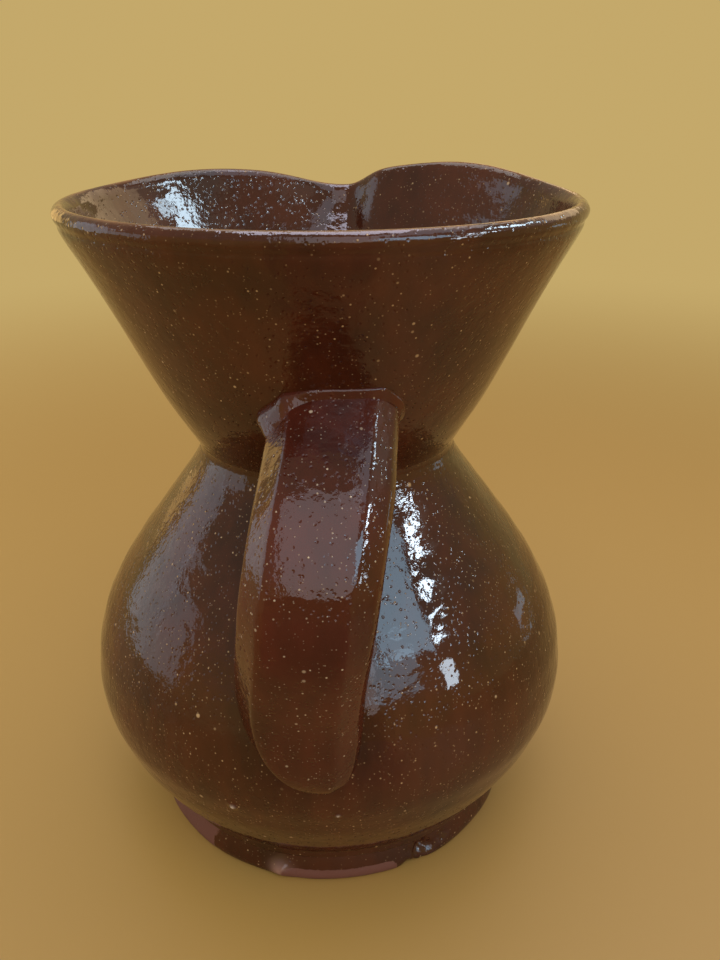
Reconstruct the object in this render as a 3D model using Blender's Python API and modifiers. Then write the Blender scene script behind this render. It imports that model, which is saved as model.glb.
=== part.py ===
"""Glazed earthenware wine jug: foot, belly, funnel mouth, strap handle, and the clay that lutes them."""

import math

import bmesh
import bpy
from mathutils import Matrix, Vector
from mathutils.geometry import interpolate_bezier

# Driving dimensions, in metres and degrees. Heights stack up from the table: foot, belly, funnel.

CLEARANCE = 0.0003
WALL_LEAN = 50.0

FOOT_HEIGHT = 0.0095
FOOT_RADIUS = 0.0542
FOOT_FLARE = 0.0017
FOOT_BEVEL = 0.0020
FOOT_EDGE_ROUND = 0.0015
FOOT_SKIRT = 0.0030

BELLY_HEIGHT = 0.1045
BELLY_RADIUS = 0.0703
BELLY_WIDEST = 0.0355
BELLY_WALL = 0.0060
BELLY_FOOT_WALL = 0.0080
SHOULDER_PULL = 0.0390
SHOULDER_ANGLE = 36.0
BELLY_UPPER_PULL = 0.0250
BELLY_LOWER_PULL = 0.0125
UNDERSIDE_PULL = 0.0070
UNDERSIDE_ANGLE = 78.0

NECK_SEAT_RADIUS = 0.0335
NECK_WALL = 0.0055

FUNNEL_HEIGHT = 0.0652
FUNNEL_NECK_PULL = 0.0170
FUNNEL_NECK_ANGLE = 45.0
FUNNEL_RIM_PULL = 0.0400
FUNNEL_RIM_ANGLE = 27.0

RIM_RADIUS = 0.0670
RIM_ROLL = 0.0024
RIM_GROOVE = 0.0008
RIM_UNDERCUT = math.radians(45.0)

LIP_TURN = 3.5
LIP_DIP = 0.0050
LIP_REACH = 0.0075
LIP_DEPTH = 0.0400
LIP_LEFT_SPREAD = 15.0
LIP_RIGHT_SPREAD = 7.0
LOBE_TURN = 38.0
LOBE_SPREAD = 26.0
LEFT_LOBE_RISE = 0.0022
RIGHT_LOBE_RISE = 0.0042

NECK_LUTE_HEIGHT = 0.0130
NECK_LUTE_FILL = 0.0027
FOOT_LUTE_HEIGHT = 0.0036
FOOT_LUTE_FILL = 0.0004
LUTE_EDGE = 0.0006
LUTE_WAIST_SHARE = 0.17

STRAP_WIDTH = 0.0300
STRAP_THICKNESS = 0.0130
STRAP_SQUARENESS = 3.0
STRAP_ROOT_RISE = 0.0245
STRAP_ROOT_DEPTH = 0.0070
STRAP_ROOT_ANGLE = 122.0
STRAP_ROOT_PULL = 0.0260
STRAP_BOW_DROP = 0.0150
STRAP_BOW_PROUD = 0.0079
STRAP_BOW_UPPER_PULL = 0.0160
STRAP_BOW_LOWER_PULL = 0.0130
STRAP_TAIL_DROP = 0.0090
STRAP_TAIL_DEPTH = 0.0040
STRAP_TAIL_PULL = 0.0260
STRAP_TAIL_SCALE = 0.30
STRAP_LEAN = 7.5

COLLAR_MARGIN = 0.0032
COLLAR_LENGTH = 0.0070
COLLAR_TAPER = 0.88
WEDGE_RADIUS = 0.0042
WEDGE_INSET = 0.0030

# Colours and gloss of the fired surfaces.
BROWN_GLAZE = (0.060, 0.018, 0.009)
RED_GLAZE = (0.078, 0.018, 0.010)
BARE_CLAY = (0.150, 0.060, 0.050)
GLAZE_ROUGHNESS = 0.12
LUTE_ROUGHNESS = 0.18
CLAY_ROUGHNESS = 0.55

# How finely curves are drawn.
TURN_STEPS = 48
FUNNEL_STEPS = 72
ARC_POINTS = 9
LUTE_POINTS = 4
SECTION_POINTS = 18
SMOOTH_ANGLE = math.radians(40.0)
MERGE_DISTANCE = 0.00001

# Sizes worked out from the driving dimensions. A gap is measured square to the leaning wall.
RADIAL_CLEARANCE = CLEARANCE / math.cos(math.radians(WALL_LEAN))
BELLY_SEAT = FOOT_HEIGHT + CLEARANCE
WIDEST_Z = FOOT_HEIGHT + BELLY_WIDEST
NECK_Z = FOOT_HEIGHT + BELLY_HEIGHT
FUNNEL_SEAT = NECK_Z + CLEARANCE
RIM_Z = NECK_Z + FUNNEL_HEIGHT
FOOT_TOP_RADIUS = FOOT_RADIUS - FOOT_FLARE
BELLY_SEAT_RADIUS = FOOT_TOP_RADIUS - FOOT_BEVEL
NECK_WAIST_RADIUS = NECK_SEAT_RADIUS + NECK_LUTE_FILL
FOOT_WAIST_RADIUS = FOOT_TOP_RADIUS + FOOT_LUTE_FILL


def clear_scene():
    """Remove every object in the scene."""
    for item in list(bpy.data.objects):
        bpy.data.objects.remove(item, do_unlink=True)


def new_collection(name):
    """A collection linked to the scene."""
    group = bpy.data.collections.new(name)
    bpy.context.scene.collection.children.link(group)
    return group


def ceramic(name, colour, roughness):
    """A fired clay surface with its own colour and gloss."""
    material = bpy.data.materials.new(name)
    material.use_nodes = True
    shader = material.node_tree.nodes["Principled BSDF"]
    shader.inputs["Base Color"].default_value = (*colour, 1.0)
    shader.inputs["Roughness"].default_value = roughness
    shader.inputs["Metallic"].default_value = 0.0
    return material


def slope(angle, length):
    """A step of the given length, leaning outwards from straight up by the angle in degrees."""
    lean = math.radians(angle)
    return Vector((math.sin(lean), math.cos(lean))) * length


def arc(start, start_handle, end_handle, end, points=ARC_POINTS):
    """Points of one smooth curve, as radius and height."""
    return interpolate_bezier(start, start_handle, end_handle, end, points)


def belly_side(neck_wall, wall, foot_wall):
    """One side of the belly's wall from the neck down to the foot, set in by the given thicknesses."""
    neck = Vector((NECK_SEAT_RADIUS - neck_wall, NECK_Z))
    widest = Vector((BELLY_RADIUS - wall, WIDEST_Z))
    foot = Vector((BELLY_SEAT_RADIUS - foot_wall, BELLY_SEAT))
    down = Vector((0.0, -1.0))
    shoulder = arc(neck, neck + slope(180.0 - SHOULDER_ANGLE, SHOULDER_PULL),
                   widest - down * BELLY_UPPER_PULL, widest)
    underside = arc(widest, widest + down * BELLY_LOWER_PULL,
                    foot + slope(UNDERSIDE_ANGLE, UNDERSIDE_PULL), foot)
    return shoulder + underside[1:]


def funnel_side(neck_wall, rim_point):
    """One side of the funnel's wall from just under the rim down to the neck."""
    neck = Vector((NECK_SEAT_RADIUS - neck_wall, FUNNEL_SEAT))
    return arc(rim_point, rim_point - slope(FUNNEL_RIM_ANGLE, FUNNEL_RIM_PULL),
               neck + slope(FUNNEL_NECK_ANGLE, FUNNEL_NECK_PULL), neck)


def rim_roll():
    """The rounded rim, from its inner side over the crest to the groove under its outer side."""
    centre = Vector((RIM_RADIUS - RIM_ROLL, RIM_Z - RIM_ROLL))
    start = math.pi
    end = -RIM_UNDERCUT
    steps = ARC_POINTS - 1
    turns = [start + (end - start) * i / steps for i in range(steps + 1)]
    return [centre + RIM_ROLL * Vector((math.cos(turn), math.sin(turn))) for turn in turns]


def rim_groove():
    """The bottom of the shallow groove under the rim."""
    return Vector((RIM_RADIUS - RIM_ROLL * (1.0 - math.cos(RIM_UNDERCUT)) - RIM_GROOVE,
                   RIM_Z - 2.0 * RIM_ROLL))


def body_side():
    """The outer side of funnel and belly together, from the rim's groove down to the foot."""
    return funnel_side(0.0, rim_groove()) + belly_side(0.0, 0.0, 0.0)


def radius_at(side, height):
    """Radius of a side at a height, between the two points that span it."""
    for upper, lower in zip(side, side[1:]):
        if lower.y <= height <= upper.y and lower.y < upper.y:
            share = (height - lower.y) / (upper.y - lower.y)
            return lower.x + (upper.x - lower.x) * share
    raise ValueError(f"no wall at height {height:.4f}")


def link(name, data, group, material):
    """An object in its collection, with its material."""
    item = bpy.data.objects.new(name, data)
    group.objects.link(item)
    if material is not None:
        data.materials.append(material)
    return item


def turned(name, outline, closed, steps, group, material=None):
    """A shape turned about the jug's axis from an outline that runs down its outer side."""
    mesh = bpy.data.meshes.new(name)
    points = [(point.x, 0.0, point.y) for point in outline]
    edges = [(i, i + 1) for i in range(len(points) - 1)]
    if closed:
        edges.append((len(points) - 1, 0))
    mesh.from_pydata(points, edges, [])
    item = link(name, mesh, group, material)
    screw = item.modifiers.new("turn", "SCREW")
    screw.axis = "Z"
    screw.steps = steps
    screw.render_steps = steps
    screw.use_merge_vertices = True
    screw.merge_threshold = MERGE_DISTANCE
    screw.use_smooth_shade = True
    return item


def as_mesh(item, group):
    """The object's evaluated shape as a plain mesh object of the same name; the first object is removed."""
    bpy.context.view_layer.update()
    graph = bpy.context.evaluated_depsgraph_get()
    mesh = bpy.data.meshes.new_from_object(item.evaluated_get(graph))
    name = item.name
    place = item.matrix_world.copy()
    bpy.data.objects.remove(item, do_unlink=True)
    body = bmesh.new()
    body.from_mesh(mesh)
    bmesh.ops.remove_doubles(body, verts=body.verts, dist=MERGE_DISTANCE)
    bmesh.ops.recalc_face_normals(body, faces=body.faces)
    body.to_mesh(mesh)
    body.free()
    mesh.shade_smooth()
    mesh.set_sharp_from_angle(angle=SMOOTH_ANGLE)
    result = bpy.data.objects.new(name, mesh)
    result.matrix_world = place
    group.objects.link(result)
    return result


def cut(item, cutter):
    """Take the cutter's shape out of a piece."""
    boolean = item.modifiers.new(f"cut by {cutter.name}", "BOOLEAN")
    boolean.operation = "DIFFERENCE"
    boolean.solver = "EXACT"
    boolean.object = cutter


def hide_cutter(item):
    """Show a cutter as wire and keep it out of the model."""
    item.hide_render = True
    item.display_type = "WIRE"


def bell(angle, centre, spread):
    """A smooth rise of height one about a centre, all in degrees."""
    return math.exp(-((angle - centre) / spread) ** 2)


def pinch_lip(mesh):
    """Press the pouring lip out of the rim at +Y and raise the rim on both sides of it."""
    start = RIM_Z - LIP_DEPTH
    for vertex in mesh.vertices:
        share = min(max((vertex.co.z - start) / LIP_DEPTH, 0.0), 1.0)
        fade = share * share * (3.0 - 2.0 * share)
        turn = math.degrees(math.atan2(vertex.co.x, vertex.co.y))
        spread = LIP_LEFT_SPREAD if turn < LIP_TURN else LIP_RIGHT_SPREAD
        pinch = bell(turn, LIP_TURN, spread)
        rise = RIGHT_LOBE_RISE * bell(turn, LOBE_TURN, LOBE_SPREAD)
        rise += LEFT_LOBE_RISE * bell(turn, -LOBE_TURN, LOBE_SPREAD)
        out = Vector((vertex.co.x, vertex.co.y, 0.0)).normalized()
        vertex.co += out * (LIP_REACH * pinch * fade)
        vertex.co.z += (rise - LIP_DIP * pinch) * fade * fade


def make_foot(group, material):
    """Flat-bottomed foot that also closes the floor."""
    edge = FOOT_EDGE_ROUND
    chamfer = edge * (1.0 - math.sqrt(0.5))
    outline = [
        Vector((0.0, FOOT_HEIGHT)),
        Vector((BELLY_SEAT_RADIUS, FOOT_HEIGHT)),
        Vector((FOOT_TOP_RADIUS, FOOT_HEIGHT - FOOT_BEVEL)),
        Vector((FOOT_RADIUS, FOOT_SKIRT)),
        Vector((FOOT_RADIUS, edge)),
        Vector((FOOT_RADIUS - chamfer, chamfer)),
        Vector((FOOT_RADIUS - edge, 0.0)),
        Vector((0.0, 0.0)),
    ]
    return turned("foot", outline, False, TURN_STEPS, group, material)


def make_belly(group, material):
    """Round thrown shell between the foot and the neck."""
    outer = belly_side(0.0, 0.0, 0.0)
    inner = belly_side(NECK_WALL, BELLY_WALL, BELLY_FOOT_WALL)
    return turned("belly", outer + inner[::-1], True, TURN_STEPS, group, material)


def make_funnel(group, material):
    """Funnel mouth with its rolled rim and the lip pressed out of it."""
    roll = rim_roll()
    outer = funnel_side(0.0, rim_groove())
    inner = funnel_side(NECK_WALL, roll[0])
    funnel = turned("mouth_funnel", roll[1:] + outer + inner[::-1], True, FUNNEL_STEPS, group, material)
    funnel = as_mesh(funnel, group)
    pinch_lip(funnel.data)
    return funnel


def ring_lute(name, side, bottom, top, seam, waist_radius, group, material):
    """A ring of joining clay in a crease, hollowed to the waist radius at the seam's height."""
    span = [point for point in side if bottom < point.y < top]
    inner = [Vector((radius_at(side, top), top)), *span, Vector((radius_at(side, bottom), bottom))]
    grow = Vector((RADIAL_CLEARANCE, 0.0))
    inner = [point + grow for point in inner]
    edge = Vector((LUTE_EDGE, 0.0))
    upper = inner[0] + edge
    lower = inner[-1] + edge
    waist = Vector((waist_radius, seam))
    half = Vector((0.0, (top - bottom) * LUTE_WAIST_SHARE))
    outer = arc(upper, (upper + waist) / 2.0, waist + half, waist, LUTE_POINTS)
    outer += arc(waist, waist - half, (lower + waist) / 2.0, lower, LUTE_POINTS)[1:]
    return turned(name, outer + inner[::-1], True, TURN_STEPS, group, material)


def make_neck_lute(group, material):
    """Joining clay worked into the crease of the neck."""
    half = NECK_LUTE_HEIGHT / 2.0
    return ring_lute("neck_lute", body_side(), NECK_Z - half, NECK_Z + half, NECK_Z,
                     NECK_WAIST_RADIUS, group, material)


def make_foot_lute(group, material):
    """Joining clay worked into the crease between belly and foot."""
    bevel = [Vector((BELLY_SEAT_RADIUS, FOOT_HEIGHT)), Vector((FOOT_TOP_RADIUS, FOOT_HEIGHT - FOOT_BEVEL)),
             Vector((FOOT_RADIUS, FOOT_SKIRT))]
    side = belly_side(0.0, 0.0, 0.0) + bevel
    bottom = FOOT_HEIGHT - FOOT_BEVEL
    return ring_lute("foot_lute", side, bottom, bottom + FOOT_LUTE_HEIGHT, FOOT_HEIGHT,
                     FOOT_WAIST_RADIUS, group, material)


def strap_section(name, grow, group):
    """The strap's cross-section, a flat oval, grown on all sides."""
    curve = bpy.data.curves.new(name, "CURVE")
    curve.dimensions = "2D"
    spline = curve.splines.new("POLY")
    spline.points.add(SECTION_POINTS - 1)
    spline.use_cyclic_u = True
    half_thickness = STRAP_THICKNESS / 2.0 + grow
    half_width = STRAP_WIDTH / 2.0 + grow
    power = 2.0 / STRAP_SQUARENESS
    for i, point in enumerate(spline.points):
        turn = 2.0 * math.pi * (i + 0.5) / SECTION_POINTS
        across = math.copysign(abs(math.cos(turn)) ** power, math.cos(turn))
        along = math.copysign(abs(math.sin(turn)) ** power, math.sin(turn))
        point.co = (half_thickness * across, half_width * along, 0.0, 1.0)
    section = link(name, curve, group, None)
    hide_cutter(section)
    return section


def strap_route():
    """Middle of the strap as outward distance and height, from its buried root over the bow to its tail."""
    side = body_side()
    root_z = NECK_Z + STRAP_ROOT_RISE
    tail_z = WIDEST_Z - STRAP_TAIL_DROP
    root = Vector((radius_at(side, root_z) - STRAP_ROOT_DEPTH, root_z))
    bow = Vector((BELLY_RADIUS + STRAP_BOW_PROUD, NECK_Z - STRAP_BOW_DROP))
    tail = Vector((radius_at(side, tail_z) - STRAP_TAIL_DEPTH, tail_z))
    up = Vector((0.0, 1.0))
    upper = arc(root, root + slope(STRAP_ROOT_ANGLE, STRAP_ROOT_PULL), bow + up * STRAP_BOW_UPPER_PULL, bow)
    lower = arc(bow, bow - up * STRAP_BOW_LOWER_PULL, tail + up * STRAP_TAIL_PULL, tail)
    return upper + lower[1:]


def strap_inner_face(route):
    """The strap's inner face from the bow down to the tail."""
    below_bow = [point for point in route if point.y <= NECK_Z - STRAP_BOW_DROP]
    face = []
    for upper, lower in zip(below_bow, below_bow[1:]):
        along = (lower - upper).normalized()
        inwards = Vector((along.y, -along.x))
        face.append((upper + lower) / 2.0 + inwards * STRAP_THICKNESS / 2.0)
    return face


def strap_crotch(route):
    """The point where the strap's inner face runs into the belly."""
    side = belly_side(0.0, 0.0, 0.0)
    face = strap_inner_face(route)
    for upper, lower in zip(face, face[1:]):
        upper_gap = upper.x - radius_at(side, upper.y)
        lower_gap = lower.x - radius_at(side, lower.y)
        if lower_gap <= 0.0 < upper_gap:
            return upper.lerp(lower, upper_gap / (upper_gap - lower_gap))
    raise ValueError("the strap never meets the belly")


def strap_scales(route):
    """Size of the section at each point: full down to the crotch, then thinning to the tail."""
    crotch = strap_crotch(route)
    drop = crotch.y - route[-1].y
    shares = [max(crotch.y - point.y, 0.0) / drop for point in route]
    return [1.0 - (1.0 - STRAP_TAIL_SCALE) * share * share for share in shares]


def handle_place():
    """Stand the strap's own plane upright on the -Y side, leaning about the outward line."""
    pivot = Matrix.Translation((0.0, 0.0, NECK_Z - STRAP_BOW_DROP))
    upright = Matrix(((0.0, 0.0, -1.0), (-1.0, 0.0, 0.0), (0.0, 1.0, 0.0))).to_4x4()
    lean = Matrix.Rotation(math.radians(STRAP_LEAN), 4, "Y")
    return pivot @ lean @ pivot.inverted() @ upright


def swept(name, route, scales, section, group, material):
    """A solid with the section carried along a route in the strap's plane."""
    curve = bpy.data.curves.new(name, "CURVE")
    curve.dimensions = "2D"
    curve.fill_mode = "NONE"
    curve.bevel_mode = "OBJECT"
    curve.bevel_object = section
    curve.use_fill_caps = True
    spline = curve.splines.new("POLY")
    spline.points.add(len(route) - 1)
    for knot, place, scale in zip(spline.points, route, scales):
        knot.co = (place.x, place.y, 0.0, 1.0)
        knot.radius = scale
    item = link(name, curve, group, material)
    item.matrix_world = handle_place()
    return as_mesh(item, group)


def make_cutters(group):
    """The body's outer shape and the strap, both grown by the clearance."""
    grow = Vector((RADIAL_CLEARANCE, 0.0))
    side = [point + grow for point in body_side()]
    outline = [Vector((0.0, side[0].y)), *side, Vector((0.0, side[-1].y))]
    core = turned("body_core", outline, False, TURN_STEPS * 2, group)
    hide_cutter(core)
    section = strap_section("strap_section_grown", CLEARANCE, group)
    route = strap_route()
    strap = swept("strap_core", route, strap_scales(route), section, group, None)
    hide_cutter(strap)
    return core, strap


def make_strap(group, cutters, core, material):
    """Pulled strap handle, its two ends shaped to the funnel and the belly."""
    section = strap_section("strap_section", 0.0, cutters)
    route = strap_route()
    strap = swept("strap_handle", route, strap_scales(route), section, group, material)
    cut(strap, core)
    return strap


def make_upper_lute(group, cutters, core, strap_core, material):
    """Flared collar of joining clay round the strap's upper root."""
    section = strap_section("collar_section", COLLAR_MARGIN, cutters)
    root = strap_route()[0]
    route = [root, root + slope(STRAP_ROOT_ANGLE, STRAP_ROOT_DEPTH + COLLAR_LENGTH)]
    collar = swept("upper_handle_lute", route, (1.0, COLLAR_TAPER), section, group, material)
    cut(collar, core)
    cut(collar, strap_core)
    return collar


def make_lower_lute(group, core, strap_core, material):
    """Wedge of joining clay in the crotch above the strap's tail."""
    route = strap_route()
    height = strap_crotch(route).y + WEDGE_RADIUS
    belly_radius = radius_at(belly_side(0.0, 0.0, 0.0), height)
    strap_radius = radius_at(strap_inner_face(route), height)
    centre = Vector(((belly_radius + strap_radius) / 2.0, height))
    bpy.ops.mesh.primitive_cylinder_add(vertices=SECTION_POINTS, radius=WEDGE_RADIUS,
                                        depth=STRAP_WIDTH - 2.0 * WEDGE_INSET)
    wedge = bpy.context.active_object
    wedge.name = "lower_handle_lute"
    for owner in list(wedge.users_collection):
        owner.objects.unlink(wedge)
    group.objects.link(wedge)
    wedge.data.materials.append(material)
    wedge.matrix_world = handle_place() @ Matrix.Translation((centre.x, centre.y, 0.0))
    wedge.data.shade_smooth()
    wedge.data.set_sharp_from_angle(angle=SMOOTH_ANGLE)
    cut(wedge, core)
    cut(wedge, strap_core)
    return wedge


def build():
    """Make every piece of the jug."""
    clear_scene()
    jug = new_collection("wine_jug")
    cutters = new_collection("wine_jug_cutters")
    make_foot(jug, ceramic("foot clay", BARE_CLAY, CLAY_ROUGHNESS))
    make_belly(jug, ceramic("belly glaze", BROWN_GLAZE, GLAZE_ROUGHNESS))
    make_funnel(jug, ceramic("funnel glaze", BROWN_GLAZE, GLAZE_ROUGHNESS))
    make_neck_lute(jug, ceramic("neck lute glaze", BROWN_GLAZE, LUTE_ROUGHNESS))
    make_foot_lute(jug, ceramic("foot lute glaze", BROWN_GLAZE, LUTE_ROUGHNESS))
    core, strap_core = make_cutters(cutters)
    make_strap(jug, cutters, core, ceramic("handle glaze", RED_GLAZE, GLAZE_ROUGHNESS))
    make_upper_lute(jug, cutters, core, strap_core, ceramic("upper lute glaze", RED_GLAZE, LUTE_ROUGHNESS))
    make_lower_lute(jug, core, strap_core, ceramic("lower lute glaze", RED_GLAZE, LUTE_ROUGHNESS))


build()
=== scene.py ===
"""Looks of a glazed earthenware wine jug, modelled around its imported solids.

The jug's sizes are in millimetres, the stage's in metres, and angles in degrees.
"""

import logging
import math
from dataclasses import dataclass, field
from enum import Enum

import bmesh
import bpy
import numpy as np
from bpy.types import Material, NodeOutputs, NodeSocket, NodeTree, Object
from mathutils import Matrix, Vector


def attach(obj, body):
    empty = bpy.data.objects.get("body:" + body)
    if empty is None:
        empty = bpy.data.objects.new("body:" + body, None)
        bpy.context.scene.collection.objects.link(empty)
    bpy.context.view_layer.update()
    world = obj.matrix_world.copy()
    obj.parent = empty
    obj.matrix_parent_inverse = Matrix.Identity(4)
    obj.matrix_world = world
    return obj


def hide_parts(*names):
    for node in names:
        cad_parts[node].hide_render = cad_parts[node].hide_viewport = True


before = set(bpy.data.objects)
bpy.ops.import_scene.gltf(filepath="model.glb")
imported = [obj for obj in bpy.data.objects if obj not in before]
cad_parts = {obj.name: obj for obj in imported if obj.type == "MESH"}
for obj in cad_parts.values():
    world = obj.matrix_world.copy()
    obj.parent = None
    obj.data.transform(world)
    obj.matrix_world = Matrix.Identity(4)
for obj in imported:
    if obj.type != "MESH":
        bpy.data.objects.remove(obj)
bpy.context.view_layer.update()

MM = 0.001
MERGE = 1e-6
LEAST_RADIUS = 1.0
FINE_CUTS = 5
LOG = logging.getLogger("wine_jug")

# Sockets of the Mix node, several of which share a name and so go by number.
FACTOR = 0
FLOAT_A, FLOAT_B = 2, 3
COLOUR_A, COLOUR_B, COLOUR_OUT = 6, 7, 2

# A pair is a point, or what ramp, bell or lean takes: start and end, centre and spread, angle and length.
Array = np.ndarray
Pair = tuple[float, float]
Outline = tuple[Pair, ...]


class Slot(Enum):
    """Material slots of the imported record."""

    BODY = "body_glaze"
    HANDLE = "handle_glaze"
    FOOT = "foot_clay"


class Mark(Enum):
    """Values that a mesh carries for its finish: where its coat is thin or pale or carries a painted
    highlight, where it is missing, or where it is smoother.
    """

    CREST = "pale_or_highlight"
    BARE = "bare"
    CALM = "calm"


def linear(code: str) -> tuple[float, float, float, float]:
    """Turn an sRGB hex colour into linear red, green and blue, with an alpha of one."""
    parts = [int(code[i:i + 2], 16) / 255.0 for i in (1, 3, 5)]
    red, green, blue = [p / 12.92 if p <= 0.04045 else ((p + 0.055) / 1.055) ** 2.4 for p in parts]
    return red, green, blue, 1.0


def add(tree: NodeTree, kind: str, links: dict | None = None, **settings: object) -> NodeOutputs:
    """Add a shader node with its settings and links, and return its outputs.

    The links give inputs, by name or number, a value each or an output that feeds them.
    """
    node = tree.nodes.new(f"ShaderNode{kind}")
    for key, value in settings.items():
        setattr(node, key, value)
    for key, value in (links or {}).items():
        if isinstance(value, NodeSocket):
            tree.links.new(value, node.inputs[key])
        else:
            node.inputs[key].default_value = value
    return node.outputs


def work(tree: NodeTree, kind: str, *values: float | NodeSocket, **settings: object) -> NodeSocket:
    """Result of one operation of Blender's Math node on values."""
    return add(tree, "Math", dict(enumerate(values)), operation=kind, **settings)[0]


def rescale(tree: NodeTree, value: NodeSocket, limits: Pair = (0.0, 1.0), results: Pair = (0.0, 1.0),
            kind: str = "LINEAR") -> NodeSocket:
    """Map a value from between two limits to the range of the results."""
    links = {"Value": value, "From Min": limits[0], "From Max": limits[1],
             "To Min": results[0], "To Max": results[1]}
    return add(tree, "MapRange", links, interpolation_type=kind)["Result"]


def noise(tree: NodeTree, place: NodeSocket, size: float, detail: float) -> NodeSocket:
    """Soft noise with lumps of a given size."""
    return add(tree, "TexNoise", {"Vector": place, "Scale": 1.0 / (size * MM), "Detail": detail})["Fac"]


def blend(tree: NodeTree, share: NodeSocket, first: NodeSocket | tuple, second: tuple) -> NodeSocket:
    """Blend a share of the second colour into the first."""
    links = {FACTOR: share, COLOUR_A: first, COLOUR_B: second}
    return add(tree, "Mix", links, data_type="RGBA")[COLOUR_OUT]


def arc(start: Pair | Array, start_pull: Array, end_pull: Array, end: Array, count: int) -> Array:
    """Draw one smooth curve of points, which leaves towards one handle and arrives from the other."""
    t = np.linspace(0.0, 1.0, count)[:, None]
    knots = [np.asarray(p, float) for p in (start, start_pull, end_pull, end)]
    weights = [(1 - t) ** 3, 3 * (1 - t) ** 2 * t, 3 * (1 - t) * t ** 2, t ** 3]
    return sum(w * k for w, k in zip(weights, knots))


def lean(angle: float, length: float) -> Array:
    """A step of a length that leans outwards from straight up by an angle."""
    return length * np.array([math.sin(math.radians(angle)), math.cos(math.radians(angle))])


def ramp(value: float | Array, start: float, end: float) -> Array:
    """A smooth step from nought at the start to one at the end, which may be the lower of the two."""
    share = np.clip((value - start) / (end - start), 0.0, 1.0)
    return share * share * (3.0 - 2.0 * share)


def bell(value: Array, centre: float, spread: float | Array) -> Array:
    """A smooth rise of height one about a centre."""
    return np.exp(-((value - centre) / spread) ** 2)


def reach(points: Array) -> Array:
    """Distance of each place from the jug's axis."""
    return np.linalg.norm(points[:, :2], axis=1)


def turn_right(points: Array) -> Array:
    """Angle of each place about the axis, to the right from the handle's side."""
    return np.degrees(np.arctan2(points[:, 0], -points[:, 1]))


def push_out(points: Array, push: Array) -> None:
    """Move places straight out from the jug's axis, in the array itself."""
    points[:, :2] *= (1.0 + push / np.maximum(reach(points), LEAST_RADIUS))[:, None]


@dataclass(frozen=True)
class Lumps:
    """Soft unevenness of hand-worked clay: typical width, seed of the pattern, and height."""

    size: float
    seed: int
    height: float = 1.0
    waves: int = 9
    slowest: float = 0.6
    fastest: float = 1.5
    gain: float = 2.0

    def rise(self, points: Array) -> Array:
        """Heights of the pattern, most of them within the given height above and below nought."""
        rng = np.random.default_rng(self.seed)
        ways = rng.normal(size=(self.waves, 3))
        pace = (math.pi / self.size) * rng.uniform(self.slowest, self.fastest, (self.waves, 1))
        ways *= pace / np.linalg.norm(ways, axis=1, keepdims=True)
        phase = rng.uniform(0.0, 2.0 * math.pi, self.waves)
        return self.height * self.gain * np.sin(points @ ways.T + phase).mean(axis=1)

    def dent(self, points: Array) -> Array:
        """The pattern lowered by its height, so that it hardly stands out past the outline."""
        return self.rise(points) - self.height


def place_ring(piece: Object, ring: Array) -> None:
    """Set the selected ring of vertices, in edit mode, to its places by vertex number."""
    body = bmesh.from_edit_mesh(piece.data)
    layer = body.verts.layers.int["turn"]
    for vertex in body.verts:
        if vertex.select:
            vertex.co = Vector(ring[vertex[layer]]) * MM
    bmesh.update_edit_mesh(piece.data)


def raise_wall(name: str, rings: Array, closed: bool = True, levels: int = 2) -> Object:
    """Raise a shape ring by ring from a drawn circle, then divide its faces and smooth it.

    The last ring runs back into the first, or, if not closed, both ends are capped flat.
    """
    bpy.ops.object.select_all(action="DESELECT")
    bpy.ops.mesh.primitive_circle_add(vertices=rings.shape[1], radius=MM)
    piece = bpy.context.active_object
    piece.name = piece.data.name = name
    bpy.ops.object.mode_set(mode="EDIT")
    bpy.ops.mesh.select_all(action="SELECT")
    body = bmesh.from_edit_mesh(piece.data)
    layer = body.verts.layers.int.new("turn")
    for vertex in body.verts:
        vertex[layer] = vertex.index
    bmesh.update_edit_mesh(piece.data)
    place_ring(piece, rings[0])
    for ring in [*rings[1:], rings[0]] if closed else rings[1:]:
        bpy.ops.mesh.extrude_region_move()
        place_ring(piece, ring)
    bpy.ops.mesh.select_all(action="SELECT")
    bpy.ops.mesh.remove_doubles(threshold=MERGE)
    bpy.ops.object.mode_set(mode="OBJECT")
    piece.data.attributes.remove(piece.data.attributes["turn"])
    smooth = piece.modifiers.new("smooth clay", "SUBSURF")
    smooth.levels = smooth.render_levels = levels
    bpy.ops.object.modifier_apply(modifier=smooth.name)
    bpy.ops.object.mode_set(mode="EDIT")
    if not closed:
        bpy.ops.mesh.select_all(action="DESELECT")
        bpy.ops.mesh.select_non_manifold()
        bpy.ops.mesh.fill_holes(sides=0)
    bpy.ops.mesh.select_all(action="SELECT")
    bpy.ops.mesh.normals_make_consistent(inside=False)
    bpy.ops.object.mode_set(mode="OBJECT")
    bpy.ops.object.shade_smooth()
    return piece


def refine(piece: Object, centre: tuple[float, ...], distance: float) -> None:
    """Divide the faces within a distance of one place more finely."""
    bpy.ops.object.mode_set(mode="EDIT")
    bpy.ops.mesh.select_all(action="DESELECT")
    body = bmesh.from_edit_mesh(piece.data)
    for face in body.faces:
        if (face.calc_center_median() - Vector(centre) * MM).length < distance * MM:
            face.select_set(True)
    bmesh.update_edit_mesh(piece.data)
    bpy.ops.mesh.subdivide(number_cuts=FINE_CUTS, smoothness=0.0)
    bpy.ops.object.mode_set(mode="OBJECT")


def places(piece: Object) -> Array:
    """Read the places of a piece's vertices, one row each."""
    flat = np.zeros(len(piece.data.vertices) * 3, np.float32)
    piece.data.vertices.foreach_get("co", flat)
    return flat.reshape(-1, 3).astype(float) / MM


def set_places(piece: Object, points: Array) -> None:
    """Move a piece's vertices to new places."""
    piece.data.vertices.foreach_set("co", (points * MM).astype(np.float32).ravel())
    piece.data.update()


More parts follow.
